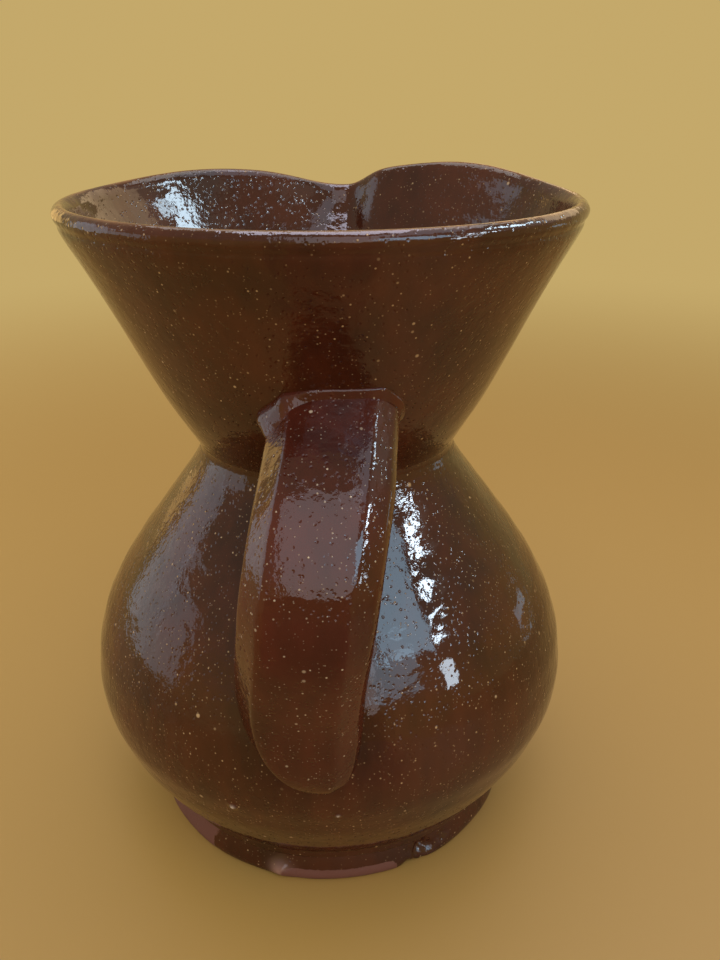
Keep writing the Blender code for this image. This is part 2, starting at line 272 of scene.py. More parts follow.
def mark(piece: Object, name: Mark, values: Array) -> None:
    """Give a piece's vertices a value that its finish reads."""
    layer = piece.data.attributes.new(name.value, "FLOAT", "POINT")
    layer.data.foreach_set("value", values.astype(np.float32))


def turned(outline: Array, sides: int) -> Array:
    """Turn an outline of radii and heights about the jug's axis, into rings of points."""
    angle = np.linspace(0.0, 2.0 * math.pi, sides, endpoint=False)
    circle = np.stack([np.cos(angle), np.sin(angle)], axis=1)
    flat = outline[:, None, :1] * circle[None]
    height = np.broadcast_to(outline[:, None, 1:], flat.shape[:2] + (1,))
    return np.concatenate([flat, height], axis=2)


@dataclass(frozen=True)
class BodyLine:
    """The turned outline that foot, belly, neck and funnel share.

    A pull is a curve's handle: its length, or its angle outwards from straight up and its length.
    """

    foot_height: float = 9.5
    foot_gap: float = 0.1
    belly_seat: float = 50.5
    belly_radius: float = 70.3
    belly_wall: float = 6.0
    base_share: float = 4.0 / 3.0
    widest_z: float = 45.0
    neck_z: float = 114.0
    neck_gap: float = 0.05
    neck_seat: float = 33.5
    neck_bore: float = 28.0
    rim_z: float = 179.2
    outer_rim: Pair = (66.1, 173.4)
    inner_rim: Pair = (60.7, 172.6)
    shoulder_pull: Pair = (144.0, 39.0)
    widest_pull_up: float = 25.0
    widest_pull_down: float = 12.5
    base_pull: Pair = (78.0, 7.0)
    rim_pull: Pair = (30.0, 30.0)
    neck_pull: Pair = (45.0, 17.0)
    seat_inset: float = 0.9
    curve_points: int = 13
    fine_points: int = 60

    def belly(self, wall: float, neck: float, count: int) -> Array:
        """Draw one side of the belly's wall, as radius and height from the neck down.

        It lies the wall's depth under the outer side at the widest height.
        """
        top = np.array([neck, self.neck_z])
        wide = np.array([self.belly_radius - wall, self.widest_z])
        base = np.array([self.belly_seat - wall * self.base_share, self.foot_height + self.foot_gap])
        shoulder = arc(top, top + lean(*self.shoulder_pull),
                       wide + (0.0, self.widest_pull_up), wide, count)
        underside = arc(wide, wide - (0.0, self.widest_pull_down),
                        base + lean(*self.base_pull), base, count)
        return np.concatenate([shoulder, underside[1:]])

    def funnel(self, rim: Pair, neck: float, count: int) -> Array:
        """Draw one side of the funnel's wall, as radius and height from under the rim down."""
        base = np.array([neck, self.neck_z + self.neck_gap])
        return arc(rim, np.array(rim) - lean(*self.rim_pull),
                   base + lean(*self.neck_pull), base, count)

    def outer(self) -> Array:
        """Draw the outer side of funnel and belly, as radius and height from the rim down."""
        return np.concatenate([self.funnel(self.outer_rim, self.neck_seat, self.fine_points),
                               self.belly(0.0, self.neck_seat, self.fine_points)])

    def seat(self) -> Pair:
        """Inner and outer radius of the flat seat on which belly and funnel meet."""
        return self.neck_bore + self.seat_inset, self.neck_seat - self.seat_inset

    def radius(self, height: float | Array) -> Array:
        """Outer radius at a height."""
        line = self.outer()[::-1]
        return np.interp(height, line[:, 1], line[:, 0])


LINE = BodyLine()


@dataclass(frozen=True)
class Speck:
    """Pale sand grains of one size: cell width, share of a cell, share of cells, and strength."""

    cell_mm: float
    share: float
    kept: float
    strength: float


SAND = (Speck(0.95, 0.21, 0.45, 0.45), Speck(1.7, 0.17, 0.42, 0.85),
        Speck(3.6, 0.12, 0.16, 0.95), Speck(7.5, 0.09, 0.25, 0.9))
FINE_SAND = Speck(1.25, 0.2, 0.35, 0.55)
GRIT = Speck(6.0, 0.09, 0.4, 0.95)


@dataclass(frozen=True)
class Glaze:
    """Brown lead glaze on red earthenware, dipped and fired.

    The eye gets a dark wet gloss, tan where the coat is worn thin on an edge, pale grains of sand in the
    clay that show through as specks, and a skin of fine pits and swells that breaks up each reflection. The
    same pale mix also paints a highlight where a mesh marks one, as on the belly's stones.
    """

    name: str
    deep: str = "#371A11"
    warm: str = "#532818"
    pale_or_highlight_colour: str = "#9A6E44"
    grain: str = "#D4B890"
    specks: tuple[Speck, ...] = SAND
    gloss: float = 0.05
    refraction: float = 1.52
    tone_mm: float = 26.0
    tone_range: Pair = (0.36, 0.66)
    run_mm: float = 5.0
    run_squash: float = 0.22
    run_share: float = 0.35
    swell_mm: float = 9.0
    swell_depth: float = 0.26
    peel_mm: float = 2.4
    peel_depth: float = 0.20
    pit_mm: float = 1.3
    pit_depth: float = 0.08
    pit_range: Pair = (0.08, 0.34)
    pits_kept: float = 0.5
    grain_depth: float = 0.07
    patch_mm: float = 32.0
    patch_range: Pair = (0.42, 0.60)
    least_peel: float = 0.4
    calm_peel: float = 0.3

    def build(self) -> Material:
        """Make the material, with its pattern on Object coordinates."""
        material = bpy.data.materials.new(self.name)
        material.use_nodes = True
        tree = material.node_tree
        shader = tree.nodes["Principled BSDF"]
        shader.inputs["IOR"].default_value = self.refraction
        place = add(tree, "TexCoord")["Object"]
        colour = self.tone(tree, place)
        grains = self.grains(tree, place)
        pale_or_highlight = add(tree, "Attribute", attribute_name=Mark.CREST.value)["Fac"]
        # The pale mark mixes in the pale colour: a worn crest on the rim, a pale drop on the foot, and a
        # painted highlight on the belly's stones.
        for share, shade in ((grains, self.grain), (pale_or_highlight, self.pale_or_highlight_colour)):
            colour = blend(tree, share, colour, linear(shade))
        tree.links.new(colour, shader.inputs["Base Color"])
        shader.inputs["Roughness"].default_value = self.gloss
        tree.links.new(self.skin(tree, place, grains), shader.inputs["Normal"])
        return material

    def tone(self, tree: NodeTree, place: NodeSocket) -> NodeSocket:
        """Colour of the coat, darker where it pooled and warmer where it ran thin."""
        broad = noise(tree, place, self.tone_mm, 3.0)
        tall = add(tree, "Mapping", {"Vector": place, "Scale": (1.0, 1.0, self.run_squash)})["Vector"]
        runs = noise(tree, tall, self.run_mm, 2.0)
        links = {FACTOR: self.run_share, FLOAT_A: broad, FLOAT_B: runs}
        both = add(tree, "Mix", links, data_type="FLOAT")[0]
        return blend(tree, rescale(tree, both, self.tone_range), linear(self.deep), linear(self.warm))

    def grains(self, tree: NodeTree, place: NodeSocket) -> NodeSocket:
        """Where pale sand grains and a few larger stones show through, up to one on a grain."""
        found = None
        for speck in self.specks:
            cell = add(tree, "TexVoronoi", {"Vector": place, "Scale": 1.0 / (speck.cell_mm * MM)})
            dot = rescale(tree, cell["Distance"], (speck.share / 2.0, speck.share), (speck.strength, 0.0))
            pick = add(tree, "SeparateColor", {"Color": cell["Color"]})["Red"]
            shown = work(tree, "MULTIPLY", dot, rescale(tree, pick, (1.0 - speck.kept, 1.0)))
            found = shown if found is None else work(tree, "MAXIMUM", found, shown)
        return found

    def skin(self, tree: NodeTree, place: NodeSocket, grains: NodeSocket) -> NodeSocket:
        """Normal bent by the coat's swells, peel, pits and grains, with more peel in some patches."""
        swell = noise(tree, place, self.swell_mm, 2.0)
        peel = noise(tree, place, self.peel_mm, 3.0)
        cell = add(tree, "TexVoronoi", {"Vector": place, "Scale": 1.0 / (self.pit_mm * MM)})
        bowl = rescale(tree, cell["Distance"], self.pit_range)
        pick = add(tree, "SeparateColor", {"Color": cell["Color"]})["Green"]
        pits = work(tree, "MAXIMUM", bowl, work(tree, "LESS_THAN", pick, self.pits_kept))
        patch = noise(tree, place, self.patch_mm, 1.0)
        rough = rescale(tree, patch, self.patch_range, (self.least_peel, 1.0))
        calm = add(tree, "Attribute", attribute_name=Mark.CALM.value)["Fac"]
        rough = work(tree, "MULTIPLY", rough, rescale(tree, calm, results=(1.0, self.calm_peel)))
        normal = None
        for height, depth, strength in ((swell, self.swell_depth, 1.0), (peel, self.peel_depth, rough),
                                        (pits, self.pit_depth, 1.0), (grains, self.grain_depth, 1.0)):
            links = {"Height": height, "Distance": depth * MM, "Strength": strength}
            if normal is not None:
                links["Normal"] = normal
            normal = add(tree, "Bump", links)["Normal"]
        return normal


@dataclass(frozen=True)
class FootFinish(Glaze):
    """Run glaze over a foot that was wiped bare, so that matt rose-brown clay shows where the coat stops."""

    clay: str = "#744B44"
    matt: float = 0.6
    ragged_mm: float = 2.2
    ragged_share: float = 0.5
    edge_range: Pair = (0.70, 0.80)

    def build(self) -> Material:
        """Make the material, bare by the foot's own mark."""
        material = super().build()
        tree = material.node_tree
        shader = tree.nodes["Principled BSDF"]
        place = add(tree, "TexCoord")["Object"]
        ragged = noise(tree, place, self.ragged_mm, 4.0)
        bare = add(tree, "Attribute", attribute_name=Mark.BARE.value)["Fac"]
        edge = work(tree, "MULTIPLY_ADD", ragged, self.ragged_share, bare)
        mask = rescale(tree, edge, self.edge_range)
        coat = shader.inputs["Base Color"].links[0].from_socket
        tree.links.new(blend(tree, mask, coat, linear(self.clay)), shader.inputs["Base Color"])
        rough = rescale(tree, mask, results=(self.gloss, self.matt))
        tree.links.new(rough, shader.inputs["Roughness"])
        return material


@dataclass(frozen=True)
class Paint:
    """Plain paint on floor and on the card of painted shade, from which the eye gets one even colour and
    hardly any gloss.
    """

    name: str
    colour: str
    roughness: float

    def build(self) -> Material:
        """Make the material."""
        material = bpy.data.materials.new(self.name)
        material.use_nodes = True
        shader = material.node_tree.nodes["Principled BSDF"]
        shader.inputs["Base Color"].default_value = linear(self.colour)
        shader.inputs["Roughness"].default_value = self.roughness
        return material


def dress(piece: Object, material: Material, node: str) -> None:
    """Finish a piece with its material, hang it under the root body, and hide the CAD node that it stands
    for.
    """
    piece.data.materials.clear()
    piece.data.materials.append(material)
    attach(piece, "root")
    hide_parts(node)
    LOG.info("%s: %d faces", piece.name, len(piece.data.polygons))


@dataclass
class Funnel:
    """Thrown funnel mouth with a rolled rim and a lip pinched out of it."""

    sides: int = 96
    outer_crease: Pair = (0.7, 0.8)
    inner_crease: Pair = (0.35, 0.8)
    roll: Outline = ((61.5, 174.5), (62.2, 176.2), (63.1, 177.8), (64.1, 178.9), (65.1, 179.25),
                     (65.9, 178.8), (66.7, 178.1), (67.1, 177.2), (66.95, 176.1), (66.25, 175.1),
                     (65.85, 174.4))
    lip_turn: float = 3.5
    lip_dip: float = 5.0
    lip_reach: float = 7.1
    lip_depth: float = 40.0
    left_spread: float = 15.0
    right_spread: float = 7.0
    lobe_turn: float = 38.0
    lobe_spread: float = 26.0
    left_rise: float = 2.2
    right_rise: float = 4.2
    inner_depth: Pair = (2.0, 3.5)
    ring_gap: float = 5.2
    ring_depth: float = 0.06
    ring_wander: float = 0.8
    wander_phase: float = 1.0
    ring_z: Pair = (171.0, 167.0)
    wall_lumps: Lumps = Lumps(19.0, 3)
    outer_dent: float = 0.03
    inner_dent: float = 0.05
    dent_z: Pair = (127.0, 137.0)
    rim_lumps: Lumps = Lumps(4.5, 7, 0.09)
    rim_dent_z: Pair = (175.5, 177.0)
    crest_radius: Pair = (64.9, 0.75)
    crest_z: Pair = (178.4, 178.9)
    wear: float = 0.75
    wear_lumps: Lumps = Lumps(6.0, 5, 0.5)

    def outline(self) -> Array:
        """Draw the wall's section, as radius and height from under the rim down, up and over."""
        outer = LINE.funnel(LINE.outer_rim, LINE.neck_seat, LINE.curve_points)
        inner = LINE.funnel(LINE.inner_rim, LINE.neck_bore, LINE.curve_points)[::-1]
        seat = [(radius, LINE.neck_z + LINE.neck_gap) for radius in LINE.seat()[::-1]]
        lower = [outer[-1] + self.outer_crease]
        upper = [inner[0] + self.inner_crease]
        return np.concatenate([outer[:-1], lower, outer[-1:], seat, inner[:1], upper, inner[1:], self.roll])

    def pinch(self, points: Array) -> Array:
        """Press the lip out of the round funnel's rim and lift the rim on both sides of it."""
        fade = ramp(points[:, 2], LINE.rim_z - self.lip_depth, LINE.rim_z)
        turn = np.degrees(np.arctan2(points[:, 0], points[:, 1]))
        spread = np.where(turn < self.lip_turn, self.left_spread, self.right_spread)
        pinch = bell(turn, self.lip_turn, spread)
        rise = self.right_rise * bell(turn, self.lobe_turn, self.lobe_spread)
        rise += self.left_rise * bell(turn, -self.lobe_turn, self.lobe_spread)
        moved = points.copy()
        push_out(moved, self.lip_reach * pinch * fade)
        moved[:, 2] += (rise - self.lip_dip * pinch) * fade * fade
        return moved

    def build(self, material: Material) -> None:
        """Throw the funnel, leave finger rings in it, mark its worn crest and pinch the lip."""
        piece = raise_wall("mouth_funnel_glazed", turned(self.outline(), self.sides))
        points = places(piece)
        radius, height = reach(points), points[:, 2]
        inside = ramp(LINE.radius(height) - radius, *self.inner_depth)
        turn = np.arctan2(points[:, 1], points[:, 0])
        wander = self.ring_wander * np.sin(turn + self.wander_phase)
        rings = np.sin(2.0 * math.pi * height / self.ring_gap + wander)
        push = -self.ring_depth * inside * (1.0 + rings) * ramp(height, *self.ring_z)
        depth = (self.outer_dent + self.inner_dent * inside) * ramp(height, *self.dent_z)
        push += depth * self.wall_lumps.dent(points)
        push += self.rim_lumps.dent(points) * ramp(height, *self.rim_dent_z)
        push_out(points, push)
        pale_or_highlight = bell(radius, *self.crest_radius) * ramp(height, *self.crest_z)
        mark(piece, Mark.CREST, np.clip(pale_or_highlight * (self.wear + self.wear_lumps.rise(points)), 0.0, 1.0))
        set_places(piece, self.pinch(points))
        dress(piece, material, "mouth_funnel")


@dataclass(frozen=True)
class Stone:
    """A stone in the clay that lifts the wall: its place, the lift, and how wide the lift is."""

    place: tuple[float, float, float]
    lift: float
    spread: float


@dataclass
class Belly:
    """Round thrown shell between foot and neck."""

    sides: int = 72
    outer_crease: Pair = (0.6, -0.8)
    inner_crease: Pair = (0.5, -0.8)
    stones: tuple[Stone, ...] = (Stone((-22.0, -65.5, 38.0), 0.9, 1.1), Stone((4.6, -69.0, 38.5), 0.5, 0.7))
    fine_reach: float = 4.0
    painted_highlight_power: int = 4
    lower_z: Pair = (12.0, 22.0)
    upper_z: Pair = (104.0, 95.0)
    lumps: Lumps = Lumps(18.0, 11, 0.14)
    ring_gap: float = 9.5
    ring_start: float = 88.0
    ring_depth: float = 0.07
    calm_turn: Pair = (40.0, 22.0)

    def build(self, material: Material) -> None:
        """Throw the shell, leave its hand-made unevenness, and paint a pale highlight on each stone."""
        outer = LINE.belly(0.0, LINE.neck_seat, LINE.curve_points)
        inner = LINE.belly(LINE.belly_wall, LINE.neck_bore, LINE.curve_points)[::-1]
        seat = [(radius, LINE.neck_z) for radius in LINE.seat()]
        outline = np.concatenate([outer[:1], outer[:1] + self.outer_crease, outer[1:], inner[:-1],
                                  inner[-1:] + self.inner_crease, inner[-1:], seat])
        piece = raise_wall("belly_glazed", turned(outline, self.sides))
        for stone in self.stones:
            refine(piece, stone.place, self.fine_reach * stone.spread)
        points = places(piece)
        height = points[:, 2]
        rings = -np.sin(2.0 * math.pi * (height - self.ring_start) / self.ring_gap)
        push = self.lumps.dent(points) + self.ring_depth * (rings - 1.0)
        push *= ramp(height, *self.lower_z) * ramp(height, *self.upper_z)
        painted_highlight = np.zeros(len(points))
        for stone in self.stones:
            spot = bell(np.linalg.norm(points - np.array(stone.place), axis=1), 0.0, stone.spread)
            push += stone.lift * spot
            # Each stone's bump gets a narrow greyish-white spot of painted highlight, through the pale mark.
            painted_highlight = np.maximum(painted_highlight, spot ** self.painted_highlight_power)
        mark(piece, Mark.CREST, painted_highlight)
        mark(piece, Mark.CALM, bell(turn_right(points), *self.calm_turn))
        push_out(points, push)
        set_places(piece, points)
        dress(piece, material, "belly")


@dataclass
class NeckLute:
    """Joining clay smoothed into the crease of the neck, with fine finger lines.

    The ridge is given by heights and by how far the clay stands out from the walls there.
    """

    sides: int = 72
    ridge: Outline = ((102.5, -0.12), (105.0, 0.0), (107.4, 0.10), (109.5, 0.35), (111.3, 0.85),
                      (113.0, 1.5), (114.6, 1.55), (116.2, 1.0), (118.0, 0.5), (120.2, 0.2), (122.8, 0.02),
                      (125.5, -0.12))
    core_depth: float = 1.2
    line_gap: float = 1.9
    line_depth: float = 0.04
    line_wander: float = 0.4
    wander_phase: float = 1.3
    lined_z: Pair = (115.0, 4.5)

    def build(self, material: Material) -> None:
        """Lay the ring so that both its edges run out on the walls."""
        heights, proud = np.array(self.ridge).T
        back = heights[-2:0:-1]
        skin = np.stack([LINE.radius(heights) + proud, heights], axis=1)
        core = np.stack([LINE.radius(back) - self.core_depth, back], axis=1)
        piece = raise_wall("neck_lute_glazed", turned(np.concatenate([skin, core]), self.sides))
        points = places(piece)
        turn = np.arctan2(points[:, 1], points[:, 0])
        wander = self.line_wander * np.sin(2.0 * turn + self.wander_phase)
        lines = np.sin(2.0 * math.pi * (points[:, 2] + wander) / self.line_gap)
        push_out(points, self.line_depth * (lines - 1.0) * bell(points[:, 2], *self.lined_z))
        set_places(piece, points)
        dress(piece, material, "neck_lute")


@dataclass
class FootLute:
    """Joining clay in the crease between belly and foot."""

    sides: int = 72
    outline: Outline = ((55.3, 12.9), (54.4, 12.0), (53.45, 10.9), (53.05, 9.9), (52.95, 9.0), (52.95, 8.2),
                        (52.75, 7.3), (51.4, 7.3), (50.4, 8.6), (50.2, 10.0), (51.6, 11.5), (53.6, 12.9))

    def build(self, material: Material) -> None:
        """Lay the thin ring into the crease."""
        piece = raise_wall("foot_lute_glazed", turned(np.array(self.outline), self.sides))
        dress(piece, material, "foot_lute")


@dataclass(frozen=True)
class Dab:
    """One small place on the foot's side: its push, and its turn and height with their spreads."""

    push: float
    turn: float
    turn_spread: float
    height: float
    height_spread: float

    def at(self, turn: Array, height: Array) -> Array:
        """One in its middle and nought far from it."""
        return bell(turn, self.turn, self.turn_spread) * bell(height, self.height, self.height_spread)


@dataclass
class Foot:
    """Flat slab foot, trimmed by hand, with run glaze, a bare patch and a chipped edge."""

    sides: int = 120
    outline: Outline = ((2.0, 0.0), (28.0, 0.0), (48.0, 0.0), (52.0, 0.0), (53.2, 0.12), (53.9, 0.7),
                        (54.15, 1.7), (54.1, 2.8), (53.75, 4.3), (53.4, 5.8), (53.0, 7.3), (52.6, 8.5),
                        (51.4, 9.3), (47.0, 9.5), (26.0, 9.5), (2.0, 9.5))
    side_radius: Pair = (46.0, 51.0)
    lumps: Lumps = Lumps(11.0, 21, 0.25)
    chips: tuple[Dab, ...] = (Dab(-2.3, 31.5, 4.4, 4.4, 2.4), Dab(-1.5, 27.5, 3.2, 0.0, 2.2))
    chip_lumps: Lumps = Lumps(1.8, 23, 0.4)
    nick: Dab = Dab(-0.7, 39.5, 1.3, 5.4, 1.2)
    drop: Dab = Dab(1.5, -13.5, 3.0, 3.2, 2.2)
    drop_pale: float = 0.8
    edge_lumps: Lumps = Lumps(5.0, 25, 4.5)
    patch_turn: float = -51.0
    patch_reach: Pair = (20.0, 13.0)
    front_turn: float = 4.5
    front_reach: Pair = (21.0, 15.0)
    front_z: Pair = (5.2, 3.2)
    wiped: float = 0.8
    bottom_z: Pair = (0.8, 0.0)
    bottom_wiped: float = 0.7

    def build(self, material: Material) -> None:
        """Cut the slab, dent its edge, and mark where it is bare."""
        piece = raise_wall("foot_clay", turned(np.array(self.outline), self.sides), closed=False)
        points = places(piece)
        turn, height = turn_right(points), points[:, 2]
        side = ramp(reach(points), *self.side_radius)
        broken = 1.0 + self.chip_lumps.rise(points)
        push = self.lumps.dent(points) + self.nick.push * self.nick.at(turn, height)
        for chip in self.chips:
            push += chip.push * chip.at(turn, height) * broken
        drop = self.drop.at(turn, height)
        push += self.drop.push * drop
        push_out(points, push * side)
        away = np.abs(turn - self.patch_turn) - self.edge_lumps.rise(points)
        bare = self.wiped * ramp(away, *self.patch_reach)
        front = np.abs(turn - self.front_turn)
        bare += self.wiped * ramp(height, *self.front_z) * ramp(front, *self.front_reach)
        bare += self.bottom_wiped * ramp(height, *self.bottom_z)
        mark(piece, Mark.BARE, np.clip(bare, 0.0, 1.0))
        mark(piece, Mark.CREST, self.drop_pale * drop * side)
        set_places(piece, points)
        dress(piece, material, "foot")


# Both halves of the strap's section, from the crown of its outer face to the middle of its inner face, as
# shares of half its width and half its thickness. The left bevel falls further than the right one.
LEFT_HALF = ((0.0, 1.0), (0.28, 0.99), (0.49, 0.965), (0.60, 0.935), (0.655, 0.895), (0.70, 0.79),
             (0.79, 0.47), (0.88, 0.15), (0.965, -0.15), (0.99, -0.30), (0.975, -0.47), (0.90, -0.72),
             (0.70, -0.90), (0.40, -0.98), (0.0, -1.0))
RIGHT_HALF = ((0.0, 1.0), (0.28, 0.99), (0.45, 0.975), (0.54, 0.955), (0.60, 0.915), (0.66, 0.835),
              (0.76, 0.69), (0.85, 0.55), (0.895, 0.46), (0.93, 0.33), (0.97, 0.10), (0.985, -0.12),
              (0.96, -0.42), (0.88, -0.68), (0.69, -0.88), (0.40, -0.98), (0.0, -1.0))


@dataclass(frozen=True)
class TailCut:
    """One cut through the strap's tail.

    Outer face, side edge and inner face are distances out and heights. Then come half the width, and how
    far the middle lies to the right.
    """

    outer: Pair
    side: Pair
    inner: Pair
    half: float
    drift: float


@dataclass(frozen=True)
class Collar:
    """Clay pressed round the strap's root: its margins, where each begins and is full, and its profile."""

    margin: float = 0.3
    left_margin: float = 2.4
    right_margin: float = 0.7
    front_margin: float = 1.3
    left_across: Pair = (0.35, 0.85)
    left_through: Pair = (-0.9, -0.3)
    right_across: Pair = (0.4, 0.9)
    front_through: Pair = (0.5, 0.9)
    rise: float = 0.45
    left_rise: float = 2.0
    profile: Outline = ((1.0, -1.2), (1.0, 0.3), (0.92, 0.9), (0.6, 1.4), (0.25, 2.0), (-0.2, 3.0))
    core: float = -1.4
    core_top: float = 2.6
    core_base: float = -1.2


@dataclass(frozen=True)
class Wedge:
    """Clay pressed into the crotch above the tail: its sections, heights, and depth in both walls."""

    sections: int = 13
    levels: int = 7
    end_share: float = 0.94
    thin_share: float = 0.6
    thinned: float = 0.7
    bottom_z: float = 64.0
    top_z: float = 73.0
    top_rise: float = 8.0
    dip: float = 2.6
    sunk: float = 0.5
    least: float = 0.3
    strap_z: Pair = (76.0, 95.0)


@dataclass
class Handle:
    """Pulled strap handle with the clay that joins its two ends."""

    width: float = 31.0
    thickness: float = 13.0
    tilt: float = 7.5
    pivot_z: float = 99.0
    root_z: float = 138.5
    root_depth: float = 7.0
    root_pull: Pair = (122.0, 26.0)
    bow_out: float = 7.9
    bow_pull_up: float = 16.0
    bow_pull_down: float = 13.0
    tail_z: float = 36.0
    tail_depth: float = 4.0
    tail_pull: float = 26.0
    route_points: int = 80
    cuts: int = 17
    buried: float = 3.0
    upper_z: float = 125.0
    free_z: float = 75.0
    flare: float = 0.5
    flare_reach: float = 5.0
    flare_stop: float = -2.0
    droop_depth: float = 0.30
    droop_place: Pair = (0.66, 0.20)
    droop_reach: float = 9.0
    search: Pair = (0.0, 30.0)
    search_steps: int = 301
    lumps: Lumps = Lumps(13.0, 31, 0.14)
    drift_z: tuple[float, ...] = (72.0, 82.0, 95.0, 105.0, 115.0, 125.0, 138.0)
    drift: tuple[float, ...] = (-0.4, -0.9, -0.95, -1.2, -0.85, -0.3, -0.5)
    tail: tuple[TailCut, ...] = (
        TailCut((77.5, 69.9), (71.1, 71.9), (63.0, 74.0), 15.5, -0.3),
        TailCut((76.4, 65.0), (70.3, 66.8), (61.0, 69.0), 15.2, 0.4),
        TailCut((75.6, 60.5), (70.0, 61.9), (63.0, 63.5), 14.4, 1.3),
        TailCut((75.0, 56.8), (70.0, 57.7), (65.0, 58.5), 13.1, 2.4),
        TailCut((74.4, 53.6), (70.1, 54.3), (66.5, 55.0), 11.2, 3.7),
        TailCut((73.6, 51.0), (70.2, 51.6), (67.0, 52.2), 8.8, 4.9),
        TailCut((72.5, 48.9), (70.0, 49.5), (67.0, 50.2), 6.0, 5.8),
        TailCut((71.3, 47.5), (69.6, 48.1), (67.0, 48.8), 3.4, 6.4),
        TailCut((70.2, 46.9), (69.2, 47.3), (67.0, 47.8), 1.4, 6.7))
    collar: Collar = Collar()
    wedge: Wedge = Wedge()
    route: Array = field(init=False)
    along: Array = field(init=False)
    outward: Array = field(init=False)
    across: Array = field(init=False)
    through: Array = field(init=False)

    def __post_init__(self) -> None:
        """Draw the strap's middle line and its section of a crowned face with bevelled sides."""
        root = np.array([float(LINE.radius(self.root_z)) - self.root_depth, self.root_z])
        bow = np.array([LINE.belly_radius + self.bow_out, self.pivot_z])
        tail = np.array([float(LINE.radius(self.tail_z)) - self.tail_depth, self.tail_z])
        count = self.route_points
        upper = arc(root, root + lean(*self.root_pull), bow + (0.0, self.bow_pull_up), bow, count)
        lower = arc(bow, bow - (0.0, self.bow_pull_down), tail + (0.0, self.tail_pull), tail, count)
        self.route = np.concatenate([upper, lower[1:]])
        steps = np.gradient(self.route, axis=0)
        steps /= np.linalg.norm(steps, axis=1, keepdims=True)
        self.outward = np.stack([-steps[:, 1], steps[:, 0]], axis=1)
        lengths = np.linalg.norm(np.diff(self.route, axis=0), axis=1)
        self.along = np.concatenate([[0.0], np.cumsum(lengths)])
        right, left = np.array(RIGHT_HALF), np.array(LEFT_HALF)
        self.across = np.concatenate([right[:, 0], -left[-2:0:-1, 0]])
        self.through = np.concatenate([right[:, 1], left[-2:0:-1, 1]])

    def stand(self, out: Array, up: Array, across: Array) -> Array:
        """Stand the strap's own plane on the jug's handle side, leaning a little.

        It takes distances out from the axis, heights, and offsets to the right.
        """
        turn = math.radians(self.tilt)
        rise = up - self.pivot_z
        x = across * math.cos(turn) + rise * math.sin(turn)
        z = -across * math.sin(turn) + rise * math.cos(turn) + self.pivot_z
        return np.stack(np.broadcast_arrays(x, -out, z), axis=-1)

    def wall(self, up: Array, across: Array) -> Array:
        """Distance out to the jug's wall at a height and offset in the strap's plane."""
        spot = self.stand(np.zeros_like(up + across), up, across)
        return np.sqrt(LINE.radius(spot[..., 2]) ** 2 - spot[..., 0] ** 2)

    def middle(self, length: Array) -> list[Array]:
        """Middle of the strap and its outward direction at lengths along it."""
        return [np.stack([np.interp(length, self.along, line[:, k]) for k in (0, 1)], axis=-1)
                for line in (self.route, self.outward)]

    def strap_rings(self) -> Array:
        """Sections of the strap from its buried root over the bow to the rounded tail."""
        start = self.depth_length(-self.buried)
        last = np.interp(-self.free_z, -self.route[:, 1], self.along)
        lengths = np.linspace(start, last, self.cuts)
        spot, face = self.middle(lengths)
        swell = self.thickness / 2.0 + self.swell(lengths)
        bend = np.interp(spot[:, 1], self.drift_z, self.drift)
        outer = np.concatenate([spot + face * swell[:, None], [cut.outer for cut in self.tail]])
        side = np.concatenate([spot, [cut.side for cut in self.tail]])
        inner = np.concatenate([spot - face * self.thickness / 2.0, [cut.inner for cut in self.tail]])
        half = np.concatenate([np.full(len(spot), self.width / 2.0), [cut.half for cut in self.tail]])
        drift = np.concatenate([bend, [cut.drift for cut in self.tail]])
        near = np.exp(-np.arange(len(side)) * (last - start) / (self.cuts - 1) / self.droop_reach)
        through = self.through - near[:, None] * self.droop()
        front = np.maximum(through, 0.0)[:, :, None]
        back = np.maximum(-through, 0.0)[:, :, None]
        rings = side[:, None, :] + (outer - side)[:, None, :] * front + (inner - side)[:, None, :] * back
        across = half[:, None] * self.across[None, :] + drift[:, None]
        return self.stand(rings[..., 0], rings[..., 1], across)

    def droop(self) -> Array:
        """How far the left shoulder drops where the strap is pressed on, as shares of half its thickness."""
        return self.droop_depth * bell(-self.across, *self.droop_place) * (self.through > 0.0)

    def swell(self, length: Array) -> Array:
        """How much the strap's outer face swells towards its root."""
        free = np.maximum(length - self.depth_length(0.0), self.flare_stop)
        return self.flare * np.exp(-free / self.flare_reach)

    def depth_length(self, proud: float) -> float:
        """Length along the strap where its middle stands a distance out from the funnel."""
        gap = self.route[:, 0] - self.wall(self.route[:, 1], np.zeros(len(self.route)))
        near = self.route[:, 1] > self.upper_z
        return float(np.interp(proud, gap[near], self.along[near]))

    def collar_rings(self) -> Array:
        """Sections of the clay pressed round the strap's root, over it and back inside."""
        shape = self.collar
        left = ramp(-self.across, *shape.left_across) * ramp(self.through, *shape.left_through)
        margin = shape.margin + shape.left_margin * left
        margin += shape.right_margin * ramp(self.across, *shape.right_across)
        margin += shape.front_margin * ramp(self.through, *shape.front_through)
        rise = shape.rise + shape.left_rise * left
        core = np.full(len(left), shape.core)
        rings = [self.root_ring(margin * share, height * rise) for share, height in shape.profile]
        rings.append(self.root_ring(core, shape.core_top * rise))
        rings.append(self.root_ring(core, np.full(len(left), shape.core_base)))
        return np.array(rings)

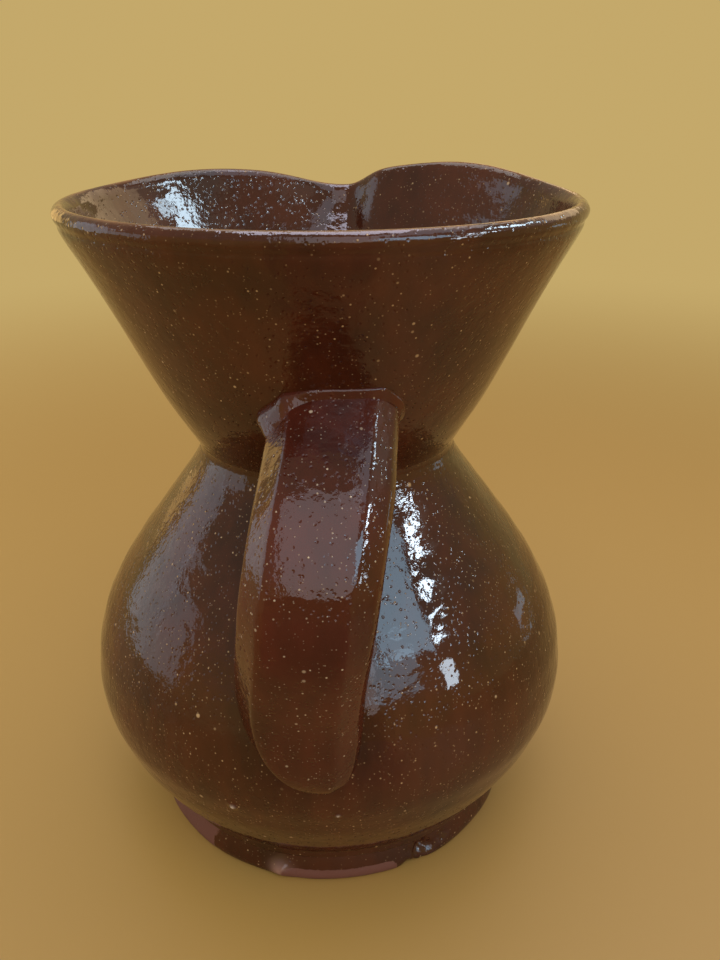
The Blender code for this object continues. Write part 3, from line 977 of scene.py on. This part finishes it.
    def root_ring(self, grow: Array, height: Array) -> Array:
        """A ring round the root, grown wider than the strap and some way off the funnel."""
        lengths = np.linspace(*self.search, self.search_steps)
        spot, face = self.middle(lengths)
        through = self.through - self.droop()
        front = np.maximum(through, 0.0)
        deep = through * (self.thickness / 2.0 + grow) + front * self.swell(lengths)[:, None]
        wide = self.across * (self.width / 2.0 + grow) + self.drift[-1]
        out = spot[:, None, 0] + face[:, None, 0] * deep
        up = spot[:, None, 1] + face[:, None, 1] * deep
        gap = out - self.wall(up, np.broadcast_to(wide[None], up.shape))
        meet = np.array([np.interp(0.0, gap[:, k], lengths) for k in range(len(wide))]) + height
        spot, face = self.middle(meet)
        deep = through * (self.thickness / 2.0 + grow) + front * self.swell(meet)
        return self.stand(spot[:, 0] + face[:, 0] * deep, spot[:, 1] + face[:, 1] * deep, wide)

    def wedge_rings(self) -> Array:
        """Sections of the clay pressed into the crotch above the tail, from left to right."""
        shape = self.wedge
        cuts = self.tail[::-1]
        side_low, back_low = np.array([cut.side for cut in cuts]), np.array([cut.inner for cut in cuts])
        half, drift = [cut.half for cut in cuts], [cut.drift for cut in cuts]
        back = self.route - self.outward * self.thickness / 2.0
        low, high = shape.strap_z
        side_line, back_line = [
            np.concatenate([start, line[(line[:, 1] > low) & (line[:, 1] < high)][::-1]])
            for start, line in ((side_low, self.route), (back_low, back))]
        rings = []
        for share in np.linspace(-shape.end_share, shape.end_share, shape.sections):
            fill = math.sqrt(1.0 - share * share)
            up = np.linspace(shape.bottom_z, shape.top_z + shape.top_rise * fill, shape.levels)
            across = share * np.interp(up, side_low[:, 1], half) + np.interp(up, side_low[:, 1], drift)
            wall = self.wall(up, across) - shape.sunk
            side = np.interp(up, side_line[:, 1], side_line[:, 0])
            deep = np.interp(up, back_line[:, 1], back_line[:, 0]) + shape.sunk
            kept = 1.0 - shape.thinned * ramp(abs(share), shape.thin_share, shape.end_share)
            strap = np.maximum(side + (deep - side) * kept, wall + shape.least)
            belly_side = np.stack([wall, up], axis=1)
            strap_side = np.stack([strap, up], axis=1)[::-1]
            dip = (belly_side[-1] + strap_side[0]) / 2.0 - (0.0, shape.dip * fill)
            section = np.concatenate([belly_side, [dip], strap_side])
            offsets = np.concatenate([across, across[-1:], across[::-1]])
            rings.append(self.stand(section[:, 0], section[:, 1], offsets))
        return np.array(rings)

    def build(self, material: Material) -> None:
        """Pull the strap and press on the clay at both its ends."""
        strap = raise_wall("strap_handle_glazed", self.strap_rings(), closed=False, levels=3)
        points = places(strap)
        normals = np.zeros(len(points) * 3, np.float32)
        strap.data.vertices.foreach_get("normal", normals)
        set_places(strap, points + normals.reshape(-1, 3) * self.lumps.dent(points)[:, None])
        dress(strap, material, "strap_handle")
        collar = raise_wall("upper_lute_glazed", self.collar_rings(), levels=3)
        dress(collar, material, "upper_handle_lute")
        wedge = raise_wall("lower_lute_glazed", self.wedge_rings(), closed=False)
        dress(wedge, material, "lower_handle_lute")


@dataclass(frozen=True)
class Softbox:
    """One plain studio panel, placed and sized by the angles at which the jug sees it."""

    name: str
    azimuth: float
    elevation: float
    width: float
    height: float
    radiance: float
    colour: str = "#FFFFFF"
    distance: float = 0.9
    glossy: bool = True
    diffuse: bool = False
    aim_z: float = 0.09

    def build(self) -> None:
        """Hang the panel so that it faces the jug."""
        lamp = bpy.data.lights.new(self.name, "AREA")
        lamp.shape = "RECTANGLE"
        lamp.size = 2.0 * self.distance * math.tan(math.radians(self.width / 2.0))
        lamp.size_y = 2.0 * self.distance * math.tan(math.radians(self.height / 2.0))
        lamp.color = linear(self.colour)[:3]
        lamp.energy = self.radiance * math.pi * lamp.size * lamp.size_y
        item = bpy.data.objects.new(self.name, lamp)
        bpy.context.scene.collection.objects.link(item)
        turn, rise = math.radians(self.azimuth), math.radians(self.elevation)
        away = Vector((math.sin(turn) * math.cos(rise), math.cos(turn) * math.cos(rise), math.sin(rise)))
        item.location = away * self.distance + Vector((0.0, 0.0, self.aim_z))
        item.rotation_euler = away.to_track_quat("Z", "Y").to_euler()
        item.visible_camera = False
        item.visible_glossy = self.glossy
        item.visible_diffuse = self.diffuse


WINDOW, SKY, PANE, MOUTH_PANE = "#C6DEF8", "#B4E1FF", "#DAEEFF", "#D0ECFF"
PANELS = (
    Softbox("left_window", -75.0, 14.0, 26.0, 38.0, 1.1, WINDOW, diffuse=True),
    Softbox("left_window_side", -99.0, 8.0, 24.0, 24.0, 1.0, WINDOW, diffuse=True),
    Softbox("left_wall", -44.0, 8.0, 22.0, 20.0, 1.1, "#F0C078", diffuse=True),
    Softbox("right_wall", 137.5, 31.5, 24.0, 19.0, 4.6, SKY),
    Softbox("right_wall_low", 147.5, 19.5, 20.0, 13.0, 2.2, SKY),
    Softbox("right_pane_1", 112.5, 32.2, 12.5, 3.7, 34.0, PANE, 0.437),
    Softbox("right_pane_2", 118.5, 22.8, 11.0, 1.6, 30.0, PANE, 0.44),
    Softbox("right_pane_3", 125.0, 6.8, 8.0, 6.0, 13.0, PANE, 0.453),
    Softbox("right_low", 70.0, -1.0, 12.0, 6.0, 1.2, SKY),
    Softbox("mouth_pane_1", 80.5, 45.0, 9.0, 9.0, 18.0, MOUTH_PANE, 0.52),
    Softbox("mouth_pane_2", 69.0, 43.0, 5.0, 4.0, 12.0, MOUTH_PANE, 0.52),
    Softbox("mouth_haze", 79.0, 41.0, 50.0, 22.0, 0.3, "#F0E4D8", 0.51),
    Softbox("mouth_wall", 33.0, 33.0, 46.0, 20.0, 1.3, "#FFDCAC", 0.52),
    Softbox("rim_window", 96.0, 66.0, 40.0, 16.0, 1.2, "#D8E8FF"),
    Softbox("back_high", 0.0, 64.0, 60.0, 20.0, 1.8),
    Softbox("overhead", 0.0, 83.0, 36.0, 21.0, 6.5, "#E8E8FF"),
    Softbox("front_wall", 172.0, 38.0, 34.0, 62.0, 1.35, "#F2F3FF", diffuse=True),
    Softbox("top_fill", 0.0, 89.0, 70.0, 70.0, 0.5, "#FFEED0", glossy=False, diffuse=True),
)


@dataclass
class Stage:
    """Pale floor, a card of painted shade seen only in reflections, soft panels, even room light, and the
    camera.
    """

    floor: Paint = Paint("pale floor", "#C2A057", 0.6)
    floor_radius: float = 30.0
    floor_sides: int = 64
    haze_range: Pair = (0.25, 0.9)
    room_colour: str = "#E6C67E"
    room_level: float = 0.70
    ceiling_colour: str = "#E4D0B4"
    ceiling_level: float = 0.56
    level_range: Pair = (0.10, 0.75)
    tint_range: Pair = (0.10, 0.5)
    # The card is painted shade: it stands in for the shaded floor in front of the jug, and only glossy rays
    # see it.
    card: Paint = Paint("painted shade card", "#5C4836", 0.8)
    card_width: float = 0.9
    card_length: float = 0.60
    card_start: float = 0.075
    card_fade: float = 0.085
    card_share: float = 0.5
    card_lift: float = 0.0005
    card_rise: float = 0.16
    card_lean: float = 0.07
    card_spread: float = 0.30
    card_edge: float = 0.25
    camera_place: tuple[float, float, float] = (0.012813, -0.240477, 0.203753)
    pitch: float = 23.467
    heading: float = 0.837
    roll: float = -0.177
    lens: float = 33.75
    sensor: float = 36.0
    nearest: float = 0.01

    def build(self) -> None:
        """Set the floor, light and camera."""
        self.lay_floor()
        self.lay_shade_card()
        self.light_room()
        for panel in PANELS:
            panel.build()
        self.stand_camera()

    def lay_floor(self) -> None:
        """Lay a plain pale floor that fades into the room's colour far off."""
        bpy.ops.object.select_all(action="DESELECT")
        bpy.ops.mesh.primitive_circle_add(vertices=self.floor_sides, radius=self.floor_radius,
                                          fill_type="NGON")
        floor = bpy.context.active_object
        floor.name = "floor"
        material = self.floor.build()
        tree = material.node_tree
        place = add(tree, "TexCoord")["Object"]
        away = add(tree, "VectorMath", {0: place}, operation="LENGTH")["Value"]
        far = rescale(tree, away, self.haze_range, kind="SMOOTHSTEP")
        ray = add(tree, "LightPath")
        seen = ray["Is Camera Ray"]
        for kind in ("Is Glossy Ray", "Is Transmission Ray"):
            seen = work(tree, "ADD", seen, ray[kind])
        share = work(tree, "MULTIPLY", seen, far, use_clamp=True)
        haze = add(tree, "Emission", {"Color": linear(self.room_colour), "Strength": self.room_level})
        mixed = add(tree, "MixShader", {0: share, 1: tree.nodes["Principled BSDF"].outputs[0], 2: haze[0]})
        tree.links.new(mixed[0], tree.nodes["Material Output"].inputs["Surface"])
        floor.data.materials.append(material)

    def lay_shade_card(self) -> None:
        """Lay a card of painted shade in front, standing in for the shaded floor there, which only
        reflections show, for a darker band on strap and funnel.
        """
        bpy.ops.object.select_all(action="DESELECT")
        bpy.ops.mesh.primitive_plane_add(size=1.0)
        card = bpy.context.active_object
        card.name = "painted_shade_card"
        middle = self.card_start + self.card_length / 2.0
        bpy.ops.object.mode_set(mode="EDIT")
        bpy.ops.transform.resize(value=(self.card_width, self.card_length, 1.0))
        bpy.ops.transform.translate(value=(0.0, -middle, self.card_lift))
        body = bmesh.from_edit_mesh(card.data)
        for edge in body.edges:
            edge.select_set(all(vertex.co.y < -middle for vertex in edge.verts))
        bmesh.update_edit_mesh(card.data)
        bpy.ops.mesh.extrude_edges_move(TRANSFORM_OT_translate={"value": (0.0, 0.0, self.card_rise)})
        bpy.ops.object.mode_set(mode="OBJECT")
        material = self.card.build()
        tree = material.node_tree
        place = add(tree, "TexCoord")["Object"]
        axis = add(tree, "SeparateXYZ", {"Vector": place})
        out = work(tree, "MULTIPLY", axis["Y"], -1.0)
        way = work(tree, "DIVIDE", axis["X"], out)
        off = work(tree, "ABSOLUTE", work(tree, "SUBTRACT", way, self.card_lean))
        share = self.card_share
        for value, limits in ((off, (self.card_spread + self.card_edge, self.card_spread)),
                              (out, (self.card_start, self.card_start + self.card_fade))):
            share = work(tree, "MULTIPLY", share, rescale(tree, value, limits, kind="SMOOTHSTEP"))
        clear = add(tree, "BsdfTransparent")[0]
        mixed = add(tree, "MixShader", {0: share, 1: clear, 2: tree.nodes["Principled BSDF"].outputs[0]})
        tree.links.new(mixed[0], tree.nodes["Material Output"].inputs["Surface"])
        card.data.materials.append(material)
        card.visible_camera = card.visible_shadow = card.visible_diffuse = False

    def light_room(self) -> None:
        """Fill the room with even light, pale at the horizon and dimmer above."""
        world = bpy.data.worlds.new("room")
        bpy.context.scene.world = world
        world.use_nodes = True
        tree = world.node_tree
        way = add(tree, "TexCoord")["Generated"]
        rise = add(tree, "SeparateXYZ", {"Vector": way})["Z"]
        level = rescale(tree, rise, self.level_range, (self.room_level, self.ceiling_level))
        tint = rescale(tree, rise, self.tint_range)
        colour = blend(tree, tint, linear(self.room_colour), linear(self.ceiling_colour))
        shine = tree.nodes["Background"]
        tree.links.new(colour, shine.inputs["Color"])
        tree.links.new(level, shine.inputs["Strength"])

    def stand_camera(self) -> None:
        """Stand the camera where it looks down on the handle side."""
        data = bpy.data.cameras.new("camera")
        data.lens = self.lens
        data.sensor_width = self.sensor
        data.clip_start = self.nearest
        item = bpy.data.objects.new("camera", data)
        bpy.context.scene.collection.objects.link(item)
        turn = (Matrix.Rotation(math.radians(self.heading), 4, "Z")
                @ Matrix.Rotation(math.radians(90.0 - self.pitch), 4, "X")
                @ Matrix.Rotation(math.radians(self.roll), 4, "Z"))
        item.matrix_world = Matrix.Translation(self.camera_place) @ turn
        bpy.context.scene.camera = item


def main() -> None:
    """Build the jug's pieces in order, then the stage."""
    logging.basicConfig(level=logging.INFO, format="%(name)s: %(message)s")
    bpy.context.scene.view_settings.view_transform = "Standard"
    body = Glaze("honey-brown glaze on earthenware").build()
    red = Glaze("red-brown glaze on earthenware", deep="#3F1A12", warm="#5A261B", grain="#E8DCC8",
                specks=(*SAND, GRIT)).build()
    # The belly's pale colour is a painted highlight on the stones' bumps.
    belly = Glaze("honey-brown glaze on sandy earthenware", pale_or_highlight_colour="#D8D0CC",
                  specks=(*SAND, FINE_SAND)).build()
    foot = FootFinish("run glaze over bare earthenware", pale_or_highlight_colour="#A5827A").build()
    Foot().build(foot)
    FootLute().build(body)
    Belly().build(belly)
    NeckLute().build(body)
    Funnel().build(body)
    Handle().build(red)
    Stage().build()


if __name__ == "__main__":
    main()
